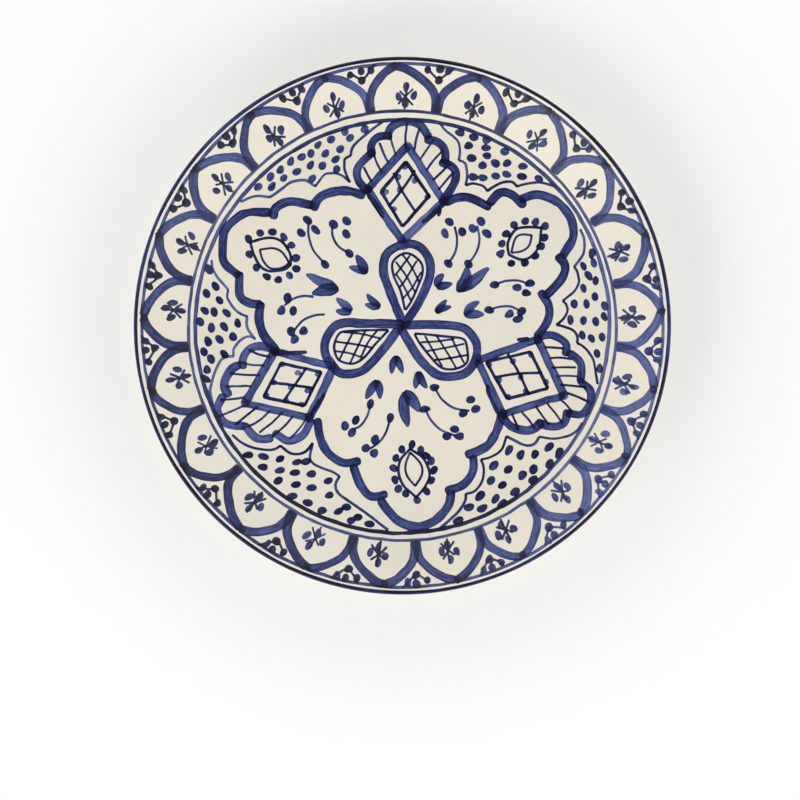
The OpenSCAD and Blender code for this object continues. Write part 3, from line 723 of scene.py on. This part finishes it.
# The six fields of dots between a diamond's fan and a lobed frame: arm, usual tilt of a
# dot, its length and width, depth of colour, the pieces of the scalloped line, each after
# its depth of colour, and the dots
FIELDS = [
    (120, 28, 4.9, 4.1, 0.95, [(0.75, [-450, 1088, -378, 1079, -337, 1062, -292, 1028]), (0.7, [-292, 1028,
     -253, 1029, -198, 1035, -142, 1041, -81, 1019, -56, 998, -31, 949]), (0.9, [-31, 949, -9, 960, 47, 982,
     80, 972, 111, 953, 136, 920, 153, 870]), (1.1, [153, 870, 155, 909, 163, 948, 180, 981, 197, 1001, 236,
     1002]), (1.0, [236, 1002, 247, 1020, 269, 1039, 313, 1053, 420, 1071, 489, 1077])], [-321, 1112, -231,
     1126, -161, 1132, -84, 1145, -17, 1136, 40, 1127, 99, 1149, 180, 1138, 273, 1136, -252, 1074, -167,
     1083, -84, 1077, 3, 1069, 111, 1084, 198, 1063, 281, 1091, 378, 1092, 61, 1032, 146, 1026, -28, 997,
     123, 974]),
    (60, 25, 5.1, 4.3, 1.15, [(0.85, [-398, 1120, -348, 1103, -301, 1095, -259, 1085, -234, 1064, -212,
     1031, -198, 992]), (1.0, [-198, 992, -162, 994, -137, 976, -112, 942, -89, 886]), (1.6, [-89, 886, -64,
     912, -31, 927, 2, 932, 37, 920]), (1.3, [37, 920, 44, 942, 63, 976, 86, 1006, 113, 1028, 138, 1038, 172,
     1028]), (1.1, [172, 1028, 186, 1048, 219, 1078, 263, 1109, 302, 1124, 358, 1137])], [-271, 1132, -189,
     1148, -116, 1170, 7, 1166, -98, 1131, 53, 1116, 139, 1145, 255, 1131, -191, 1092, -70, 1095, -6, 1082,
     165, 1092, 81, 1059, -141, 1038, -64, 1034, 33, 1019, -27, 973, -78, 949]),
    (0, 8, 5.1, 3.9, 1.1, [(0.9, [-559, 1026, -505, 1048, -433, 1049, -387, 1028, -342, 991]), (1.2, [-342,
     991, -320, 1006, -292, 1014, -259, 1020, -226, 1010, -198, 992, -173, 962, -145, 926]), (1.4, [-145,
     926, -126, 945, -92, 954, -59, 942, -31, 917, -7, 889]), (1.5, [-7, 889, -2, 916, 19, 976, 41, 1001, 69,
     1012, 99, 1009]), (1.3, [99, 1009, 113, 1037, 136, 1064, 169, 1089, 208, 1106, 291, 1120, 335, 1127])],
     [-117, 1167, -56, 1164, 63, 1153, 158, 1124, 244, 1139, -367, 1104, -263, 1116, -170, 1112, -28, 1116,
     70, 1091, -293, 1074, -128, 1063, -347, 1045, -219, 1045, -33, 1046, 51, 1038, -129, 992, -36, 970,
     -420, 1095]),
    (-60, 12, 5.6, 4.5, 1.35, [(1.0, [-619, 1003, -575, 1025, -523, 1030, -466, 1015, -414, 989, -364,
     949]), (1.1, [-364, 949, -342, 963, -314, 970, -287, 963, -259, 939, -231, 898, -201, 851]), (1.4,
     [-201, 851, -181, 873, -148, 901, -109, 912, -59, 908, -6, 895]), (1.4, [-6, 895, -3, 926, 13, 964, 41,
     998, 74, 1020, 119, 1034, 169, 1023]), (1.2, [169, 1023, 183, 1048, 219, 1073, 263, 1092, 302, 1102,
     352, 1112, 400, 1120])], [-85, 1154, 12, 1178, -210, 1145, -338, 1114, -242, 1095, -170, 1092, -41,
     1084, 31, 1132, 126, 1142, 189, 1099, 279, 1134, 99, 1073, -387, 1028, -293, 1024, -116, 1023, 3, 1028,
     -220, 985, -56, 961, -177, 927, -420, 1084]),
    (-120, 40, 5.2, 4.1, 1.45, [(1.1, [-518, 1061, -460, 1054, -403, 1046, -281, 1034, -209, 1028, -170,
     1023, -137, 1006, -120, 976, -121, 934]), (1.0, [-121, 934, -76, 930, -14, 941, 41, 947, 74, 937]),
     (1.1, [74, 937, 91, 909, 111, 844]), (1.5, [111, 844, 116, 887, 127, 917, 147, 939, 180, 956, 208, 960,
     266, 951]), (1.4, [266, 951, 277, 976, 302, 1001, 347, 1023, 422, 1044, 479, 1046, 536, 1036])], [-131,
     1154, -39, 1156, 57, 1166, -306, 1120, -216, 1110, 174, 1131, 288, 1107, 73, 1099, 194, 1074, -14, 1070,
     -331, 1084, -245, 1066, -124, 1056, 112, 1042, 315, 1053, -77, 987, 26, 1001, 227, 1016, 134, 985, 91,
     956, 397, 1089, -409, 1084]),
    (180, 28, 5.2, 4.2, 1.4, [(0.5, [-460, 1094, -381, 1110, -337, 1104, -276, 1087, -226, 1064, -192, 1042,
     -177, 1009, -176, 974]), (0.6, [-176, 974, -137, 976, -109, 959, -81, 934, -62, 901, -62, 873, -76,
     850]), (0.65, [-76, 850, -42, 878, -3, 898, 55, 898]), (0.65, [55, 894, 63, 917, 80, 948, 108, 978, 136,
     998, 169, 1012, 208, 1006]), (0.6, [208, 1006, 236, 1028, 269, 1059, 302, 1082, 341, 1098, 380, 1103])],
     [-306, 1134, -253, 1128, -151, 1145, -193, 1104, -91, 1122, -12, 1103, 24, 1167, 88, 1141, 187, 1131,
     324, 1117, 79, 1087, 228, 1079, -78, 1056, 148, 1056, -163, 1028, -6, 1028, 74, 1014, -63, 978, 14,
     951]),
]


def paint_lobed_frames():
    for angle, ink, runs in LOBED_FRAMES:
        strokes("lobed_frames", Arm(angle), runs, (4.9, 5.5), (0.92, 1.15), ink,
                ends=(0.5, 0.48), pool=(0.3, 0.4), over=(1.4, 2.2))
    for angle, runs in DASHES:
        strokes("lobed_frames", Arm(angle), runs, (2.0, 2.6), 1.4, ends=(0.6, 1.2), pool=(0.2, 0.2))


def sides(outline):
    corners = mm(outline + outline[:2])
    return zip(corners[:-1], corners[1:])


FAN_INK = {90: 1.2, -30: 1.0, -150: 0.8}


def paint_diamonds():
    for angle, outline, inner, cross, washes, fan, ribs in DIAMONDS:
        arm = Arm(angle)
        for a, b in sides(outline):
            middle = (a + b) / 2 + jitter(0.3)
            ribbon("diamond_frames", arm.at([a, middle, b]), rng.uniform(4.5, 5.0),
                   rng.uniform(0.62, 0.95), ends=(0.25, 0.25), pool=(0.3, 0.35), over=(0.8, 0.8))
        strokes("shell_fans", arm, fan, (4.5, 5.1), (0.85, 1.15), FAN_INK[angle],
                ends=(0.5, 0.48), pool=(0.3, 0.5), over=(1.7, 1.9))
        for spot in arm.at(mm(washes)):
            dab("diamond_lattices", spot, 4.0, 3.5, arm.turn(rng.uniform(0, 90)), rng.uniform(0.4, 0.7))
        for a, b in sides(inner):
            ribbon("diamond_lattices", arm.at([a, b]), rng.uniform(1.7, 2.0), rng.uniform(1.5, 1.95),
                   pool=(0.2, 0.2), over=(0.4, 0.4))
        strokes("diamond_lattices", arm, cross, 1.6, (1.35, 1.75), over=(0.8, 0.8))
        for rib in ribs:
            a, b = mm(rib)
            bow = np.array([b[1] - a[1], a[0] - b[0]]) * rng.normal(0.02, 0.02)
            ribbon("shell_fans", arm.at([a, (a + b) / 2 + bow, b]), rng.uniform(1.15, 1.45),
                   rng.uniform(1.2, 1.7), pool=(0.35, 0.1), over=(1.2, 0.6))
        top, right, _, left = arm.at(mm(outline))
        for corner in (right, left):
            dab("diamond_frames", corner, 5.6, 4.8, arm.turn(rng.uniform(0, 90)), 1.1, rough=0.06)
        dab("diamond_frames", top, 5.8, 4.8, arm.turn(0), 0.4)


def paint_teardrops():
    for angle, outer, inner, lattice in TEARDROPS:
        arm = Arm(angle)
        strokes("teardrop_loops", arm, [outer], (5.0, 5.4), (1.0, 1.15), pool=(0.3, 0.3), shake=0.8)
        strokes("teardrop_lattices", arm, [inner], 1.45, 1.55)
        strokes("teardrop_lattices", arm, lattice, 1.2, (1.2, 1.6))
    for angle, *_ in TEARDROPS:
        arm = Arm(angle)
        dab("teardrop_loops", arm.at([(0, 46.6)])[0], 8.5, 5.6, arm.turn(0), 0.35)


def paint_eyes():
    for angle, outline, inner, dots in EYES:
        arm = Arm(angle)
        strokes("eye_motifs", arm, outline, 1.6, (1.35, 1.75), over=(0.5, 0.5))
        strokes("eye_motifs", arm, inner, 1.3, (1.2, 1.6), over=(0.4, 0.4))
        for spot in arm.at(mm(dots)):
            dab("eye_motifs", spot + jitter(0.2), rng.uniform(4.9, 5.6), rng.uniform(4.1, 4.7),
                arm.turn(rng.uniform(50, 130)), rng.uniform(1.0, 1.6), rough=0.045)


def paint_sprigs():
    for angle, sprigs in SPRIGS:
        arm = Arm(angle)
        for stem, berries, foot in sprigs:
            tilt = 72 if stem[0] > 0 else 12
            strokes("berry_sprigs", arm, [stem], 1.35, (0.95, 1.25), pool=(0.5, 0.1))
            for spot in arm.at(mm(berries)):
                dab("berry_sprigs", spot + jitter(0.15), rng.uniform(5.5, 6.5), rng.uniform(4.5, 5.1),
                    arm.turn(tilt + rng.uniform(-20, 20)), rng.uniform(1.0, 1.7), rough=0.045)
            if foot:
                dab("berry_sprigs", arm.at(mm(stem[:2]))[0], 5.9, 4.6, arm.turn(tilt), 1.3, rough=0.045)


def paint_leaves():
    for angle, leaves in LEAVES:
        for ends, width in leaves:
            big = width > 7
            leaf("leaf_sprays", *Arm(angle).at(mm(ends)), width * 0.9, rng.uniform(0.62, 0.9),
                 dark=1.2 if big else 1.1, heel=3.0 if big else 1.2)


def paint_fields():
    for angle, tilt, long, wide, ink, pieces, dots in FIELDS:
        arm = Arm(angle)
        for depth, run in pieces:
            strokes("scalloped_lines", arm, [run], (1.4, 1.7), depth * 1.15, pool=(0.25, 0.3),
                    over=(0.4, 0.4))
        for spot in arm.at(mm(dots)):
            dab("field_dots", spot, long * rng.uniform(0.98, 1.18), wide * rng.uniform(0.96, 1.14),
                arm.turn(tilt + rng.normal(0, 12)), ink * rng.uniform(0.85, 1.2),
                tail=rng.uniform(0, 0.25), rough=0.04)


# Group, radius, width, depth of colour round the plate and wander
WHEEL_LINES = [
    ("well_line", 119.4, 2.3, (0.85, 1.5, 2.2, 2.2, 1.7, 0.65, 0.6, 0.7, 1.35, 1.45, 1.4, 0.7), 0.35),
    ("border_inner_line", 123.7, 1.75,
     (0.95, 0.9, 0.95, 1.0, 0.9, 0.6, 0.75, 0.9, 1.3, 1.4, 1.0, 0.85), 0.3),
    ("rim_line", 150.4, 1.85, (0.95, 1.15, 1.25, 1.15, 0.85, 0.65, 0.65, 0.8, 1.1, 1.0, 1.0, 0.95), 0.35),
]


# ---------------------------------------------------------------- materials

def linear(red, green, blue):
    """A colour given in the 0 to 255 steps of a screen, as light."""
    c = np.array([red, green, blue]) / 255
    return tuple(np.where(c <= 0.04045, c / 12.92, ((c + 0.055) / 1.055) ** 2.4)) + (1.0,)


class Graph:
    """Short names for building a node tree."""

    def __init__(self, tree):
        self.tree = tree

    def feed(self, node, values):
        """Links or sets a node's inputs."""
        for key, value in values.items():
            if isinstance(value, bpy.types.NodeSocket):
                self.tree.links.new(value, node.inputs[key])
            else:
                node.inputs[key].default_value = value

    def add(self, kind, values=None, **settings):
        node = self.tree.nodes.new("ShaderNode" + kind)
        for key, value in settings.items():
            setattr(node, key, value)
        self.feed(node, values or {})
        return node

    def noise(self, vector, scale, detail=2.0, rough=0.5):
        values = {"Vector": vector, "Scale": scale, "Detail": detail, "Roughness": rough}
        return self.add("TexNoise", values).outputs["Fac"]

    def remap(self, value, low, high, to_low, to_high, **settings):
        values = {"Value": value, "From Min": low, "From Max": high, "To Min": to_low, "To Max": to_high}
        return self.add("MapRange", values, **settings).outputs["Result"]

    def bump(self, height, strength, distance):
        values = {"Height": height, "Strength": strength, "Distance": distance}
        return self.add("Bump", values).outputs["Normal"]

    def math(self, operation, a, b):
        return self.add("Math", {0: a, 1: b}, operation=operation).outputs[0]

    def mix(self, share, a, b, blend="MIX"):
        node = self.add("Mix", {0: share, 6: a, 7: b}, data_type="RGBA", blend_type=blend)
        return node.outputs[2]

    def stretch(self, vector, x, y, z):
        return self.add("VectorMath", {0: vector, 1: (x, y, z)}, operation="MULTIPLY").outputs[0]

    def ramp(self, value, stops):
        node = self.add("ValToRGB", {"Fac": value})
        ramp = node.color_ramp
        while len(ramp.elements) < len(stops):
            ramp.elements.new(0.5)
        for element, (at, colour) in zip(ramp.elements, stops):
            element.position, element.color = at, colour
        return node.outputs["Color"]


def new_material(name):
    material = bpy.data.materials.new(name)
    material.use_nodes = True
    g = Graph(material.node_tree)
    shader = material.node_tree.nodes["Principled BSDF"]
    place = g.add("TexCoord").outputs["Object"]
    return material, g, shader, place


CREAM = linear(234, 228, 213)
CREAM_THICK = linear(229, 223, 209)
CREAM_WARM = linear(236, 226, 208)
SPECK = linear(176, 166, 142)


def glaze_colour(g, place):
    """Cream tin glaze: faint clouds where it is thicker, and a few small specks."""
    clouds = g.remap(g.noise(place, 26, 3, 0.6), 0.38, 0.66, 0, 1)
    colour = g.mix(clouds, CREAM, CREAM_THICK)
    warmth = g.remap(g.noise(place, 9), 0.45, 0.7, 0, 0.8)
    colour = g.mix(warmth, colour, CREAM_WARM)
    cells = g.add("TexVoronoi", {"Vector": place, "Scale": 180.0})
    spot = g.remap(cells.outputs["Distance"], 0.05, 0.11, 0.8, 0)
    some = g.math("GREATER_THAN", g.add("SeparateColor", {0: cells.outputs["Color"]}).outputs[0], 0.955)
    return g.mix(g.math("MULTIPLY", spot, some), colour, SPECK)


def gloss(g, shader, place):
    """A fired gloss: nearly smooth, with a very fine ripple."""
    g.feed(shader, {"Roughness": g.remap(g.noise(place, 60, 3), 0.3, 0.7, 0.16, 0.26), "IOR": 1.45,
                    "Specular IOR Level": 0.33, "Normal": g.bump(g.noise(place, 420), 0.12, 0.0002)})


def glaze_material():
    material, g, shader, place = new_material("cream_glaze")
    g.feed(shader, {"Base Color": glaze_colour(g, place)})
    gloss(g, shader, place)
    return material


INK_FULL = 2.6
COBALT = [(0.0, linear(152, 159, 184)), (0.12, linear(114, 123, 163)), (0.25, linear(75, 87, 139)),
          (0.40, linear(44, 53, 104)), (0.58, linear(28, 33, 74)), (0.78, linear(15, 18, 53)),
          (1.0, linear(8, 9, 41))]


def cobalt_material(name, load=1.0):
    """Cobalt brushed on under the gloss: streaked by the bristles, dark where it pools or
    overlaps, and clear where it thins out to the glaze."""
    material, g, shader, place = new_material(name)
    ink = g.add("Attribute", attribute_name="ink").outputs["Fac"]
    brush = g.add("Attribute", attribute_name="brush").outputs["Vector"]
    streaks = g.remap(g.noise(g.stretch(brush, 0.09, 1.5, 1), 1.0, 3, 0.55), 0.3, 0.7, 0.62, 1.34)
    blots = g.remap(g.noise(g.stretch(brush, 0.35, 0.5, 1), 1.0), 0.3, 0.7, 0.88, 1.12)
    grain = g.remap(g.noise(place, 1400), 0.3, 0.7, 0.95, 1.05)
    depth = g.math("MULTIPLY", g.math("MULTIPLY", ink, streaks), g.math("MULTIPLY", blots, grain))
    colour = g.ramp(g.math("MULTIPLY", depth, load / INK_FULL), COBALT)
    violet = g.remap(g.noise(g.stretch(brush, 0.08, 0.3, 1), 1.0, 1), 0.45, 0.75, 0, 0.35)
    colour = g.mix(violet, colour, g.mix(1.0, colour, linear(252, 226, 236), "MULTIPLY"))
    cover = g.remap(ink, 0.0, 0.3, 0.0, 1.0, interpolation_type="SMOOTHSTEP")
    g.feed(shader, {"Base Color": g.mix(cover, glaze_colour(g, place), colour)})
    gloss(g, shader, place)
    return material


def clay_material():
    """Bare fired clay: buff, sandy and matt."""
    material, g, shader, place = new_material("buff_clay")
    tone = g.remap(g.noise(place, 40, 4, 0.6), 0.3, 0.7, 0, 1)
    colour = g.mix(tone, linear(206, 178, 146), linear(190, 158, 124))
    sand = g.remap(g.noise(place, 900), 0.6, 0.72, 0, 0.6)
    colour = g.mix(sand, colour, linear(150, 118, 88))
    g.feed(shader, {"Base Color": colour, "Roughness": g.remap(g.noise(place, 300), 0.3, 0.7, 0.78, 0.92),
                    "Normal": g.bump(g.noise(place, 1100, 4, 0.7), 0.5, 0.0003)})
    return material


cream = glaze_material()
clay = clay_material()
PAINT = {"cobalt_dark": cobalt_material("cobalt_thick", 1.08), "cobalt": cobalt_material("cobalt_brushed"),
         "cobalt_thin": cobalt_material("cobalt_wash", 0.95)}

# ---------------------------------------------------------------- the turned body

face_and_lip = np.concatenate([face_line(), lip_line(14)[1:]])
wall = wall_line(40)
back = np.concatenate([wall, foot_line(10)])
under = recess_line(42)
clay_face = moved(face_and_lip, -GLAZE_T)
clay_back = moved(back, -GLAZE_T)
clay_under = moved(under, -GLAZE_T)
for name, node, line, inside in (("plate_face_glaze", "face_glaze", face_and_lip, clay_face),
                                 ("plate_back_glaze", "back_glaze", back, clay_back),
                                 ("foot_recess_glaze", "foot_well_glaze", under, clay_under)):
    turned(name, node, np.concatenate([line, inside[::-4], inside[:1]]), cream)
wall_end = len(wall) - 1
turned("plate_clay", "clay_body",
       np.concatenate([clay_face[::4], clay_back[:wall_end:3], clay_back[wall_end:wall_end + 1],
                       clay_under[7::4], clay_under[-1:]]), clay, segments=240)
rest = np.array([[FOOT_R - FOOT_BEND + 1.2, 0.12], [FOOT_R - FOOT_BEND, 0], [REST_IN, 0],
                 [REST_IN - 0.15, 0.25]])
turned("plate_foot", "foot_ring", np.concatenate([clay_back[wall_end:], rest, clay_under[:7]]), clay)

# ---------------------------------------------------------------- painting it

for group, radius, width, tones, wander in WHEEL_LINES:
    wheel_line(group, radius, width, by_angle(*tones), wander)
paint_lobed_frames()
paint_teardrops()
paint_diamonds()
paint_arches()
paint_stars()
paint_berries()
paint_fields()
paint_eyes()
paint_sprigs()
paint_leaves()


EDGE_TONE = by_angle(1.3, 1.75, 2.1, 2.0, 1.45, 1.6, 1.45, 1.8, 2.2, 2.2, 1.55, 1.3)


def paint_edge_band():
    """Colour run round the lip, thick on its crown and uneven at both edges."""
    outline = np.concatenate([[[r, float(face_z(r))] for r in (150.8, 151.4, 152.0, 152.4)],
                              lip_line(14), wall_line(60)[1:8]])
    gone = np.concatenate([[0], np.cumsum(np.linalg.norm(np.diff(outline, axis=0), axis=1))])
    normal = (moved(outline, 1.0) - outline)
    steps, columns = 600, 27
    a = np.linspace(0, 2 * math.pi, steps, endpoint=False)

    def wander(size, waves):
        return size * sum(np.cos(n * a + rng.uniform(0, 6)) * rng.normal(0, 0.6) for n in waves)

    s_in = 1.75 + wander(0.16, (3, 5, 8, 13, 21))
    s_out = gone[21] - 0.4 + wander(0.35, (2, 4, 7, 11, 17, 26))
    tone = EDGE_TONE(a / (2 * math.pi)) + wander(0.16, (3, 6, 11, 19, 31))
    across = np.sin(np.linspace(-0.5, 0.5, columns) * math.pi)
    s = (s_in + s_out)[:, None] / 2 + (s_out - s_in)[:, None] / 2 * across
    point = np.stack([np.interp(s, gone, outline[:, k]) for k in (0, 1)], 2)
    out = np.stack([np.interp(s, gone, normal[:, k]) for k in (0, 1)], 2)
    lens = 0.1 * (1 - np.abs(across) ** 3)[None, :, None]
    turn = np.stack([np.cos(a), np.sin(a)], 1)[:, None]

    def solid(rz):
        return np.concatenate([rz[..., :1] * turn, rz[..., 1:]], 2).reshape(-1, 3)

    top, low = solid(point + out * (lens - UNDER)), solid(point - out * 2 * UNDER)
    c = columns
    faces = []
    for i in range(steps):
        p, q = i * c, (i + 1) % steps * c
        u, v = p + steps * c, q + steps * c
        for k in range(c - 1):
            faces += [(p + k, q + k, q + k + 1, p + k + 1), (u + k, u + k + 1, v + k + 1, v + k)]
        faces += [(p, u, v, q), (p + c - 1, q + c - 1, v + c - 1, u + c - 1)]
    fade = soft((1 - np.abs(across)) / 0.12)
    ink = (tone[:, None] * fade).ravel()
    brush = np.stack([np.repeat(a * HALF_D, c), s.ravel(), np.full(steps * c, 7.0)], 1)
    add_mesh("brushed_rim_edge_band", "rim_edge_band", np.concatenate([top, low]), faces,
             PAINT["cobalt_dark"], {"ink": np.tile(ink, 2), "brush": np.tile(brush, (2, 1))})


paint_edge_band()
for node, marks in groups.items():
    verts, faces, inks, brushes, count = [], [], [], [], 0
    for plan, lift, own_faces, brush in marks:
        verts.append(drape(plan, lift))
        faces += [tuple(v + count for v in f) for f in own_faces]
        inks.append(laid.read(laid.ink, plan))
        brushes.append(brush)
        count += len(plan)
    add_mesh("brushed_" + node, node, np.concatenate(verts), faces, PAINT[SLOTS[node]],
             {"ink": np.concatenate(inks), "brush": np.concatenate(brushes)})

# ---------------------------------------------------------------- studio

top_z = cad_box[1][2]


def studio_floor():
    """A round pale floor with a slightly dished edge."""
    material, g, shader, place = new_material("pale_floor")
    tone = g.mix(g.noise(place, 3), (0.86, 0.86, 0.86, 1), (0.88, 0.88, 0.88, 1))
    g.feed(shader, {"Base Color": tone, "Roughness": 0.9, "Specular IOR Level": 0.1,
                    "Emission Color": (1, 1, 1, 1), "Emission Strength": 0.12})
    verts, faces = revolved([(0, 0), (0.5, 0), (2, 0), (6, 0), (12, 0.15)], 96)
    mesh = bpy.data.meshes.new("studio_floor")
    mesh.from_pydata(verts.tolist(), [], faces[:4 * 96])
    mesh.materials.append(material)
    floor = bpy.data.objects.new("studio_floor", mesh)
    bpy.context.scene.collection.objects.link(floor)


def soft_light(name, azimuth, elevation, distance, size, watts):
    light = bpy.data.lights.new(name, "AREA")
    light.shape, light.size, light.energy = "DISK", size, watts
    lamp = bpy.data.objects.new(name, light)
    a, e = math.radians(azimuth), math.radians(elevation)
    lamp.location = (distance * math.sin(a) * math.cos(e), -distance * math.cos(a) * math.cos(e),
                     distance * math.sin(e))
    lamp.rotation_mode = "QUATERNION"
    lamp.rotation_quaternion = lamp.location.to_track_quat("Z", "Y")
    bpy.context.scene.collection.objects.link(lamp)


SKY = 1.9
SKY_STOPS = [(0.0, 0.60), (0.22, 0.80), (0.38, 1.0), (0.52, 0.86), (0.64, 0.48), (0.80, 0.27), (0.93, 0.12)]


def dome():
    """Pale light all round, brightest well above the horizon and dim overhead, so that the
    gloss stays clear from above."""
    world = bpy.data.worlds.new("studio_dome")
    bpy.context.scene.world = world
    world.use_nodes = True
    g = Graph(world.node_tree)
    up = g.add("SeparateXYZ", {0: g.add("TexCoord").outputs["Generated"]}).outputs["Z"]
    glow = g.ramp(up, [(at, (v, v, v, 1)) for at, v in SKY_STOPS])
    g.feed(world.node_tree.nodes["Background"], {"Color": glow, "Strength": SKY})


studio_floor()
dome()
soft_light("key", -40, 32, 3.2, 1.8, 16)
soft_light("fill", 55, 26, 3.4, 2.2, 8)

CAMERA_HIGH = 5.0
FIELD = 0.460 * UNIT * 1000
camera_data = bpy.data.cameras.new("camera")
camera_data.lens = camera_data.sensor_width * (CAMERA_HIGH - top_z) / FIELD
camera = bpy.data.objects.new("camera", camera_data)
camera.location = (-0.0014, -0.0427, CAMERA_HIGH)
bpy.context.scene.collection.objects.link(camera)
bpy.context.scene.camera = camera
bpy.context.scene.view_settings.view_transform = "Standard"
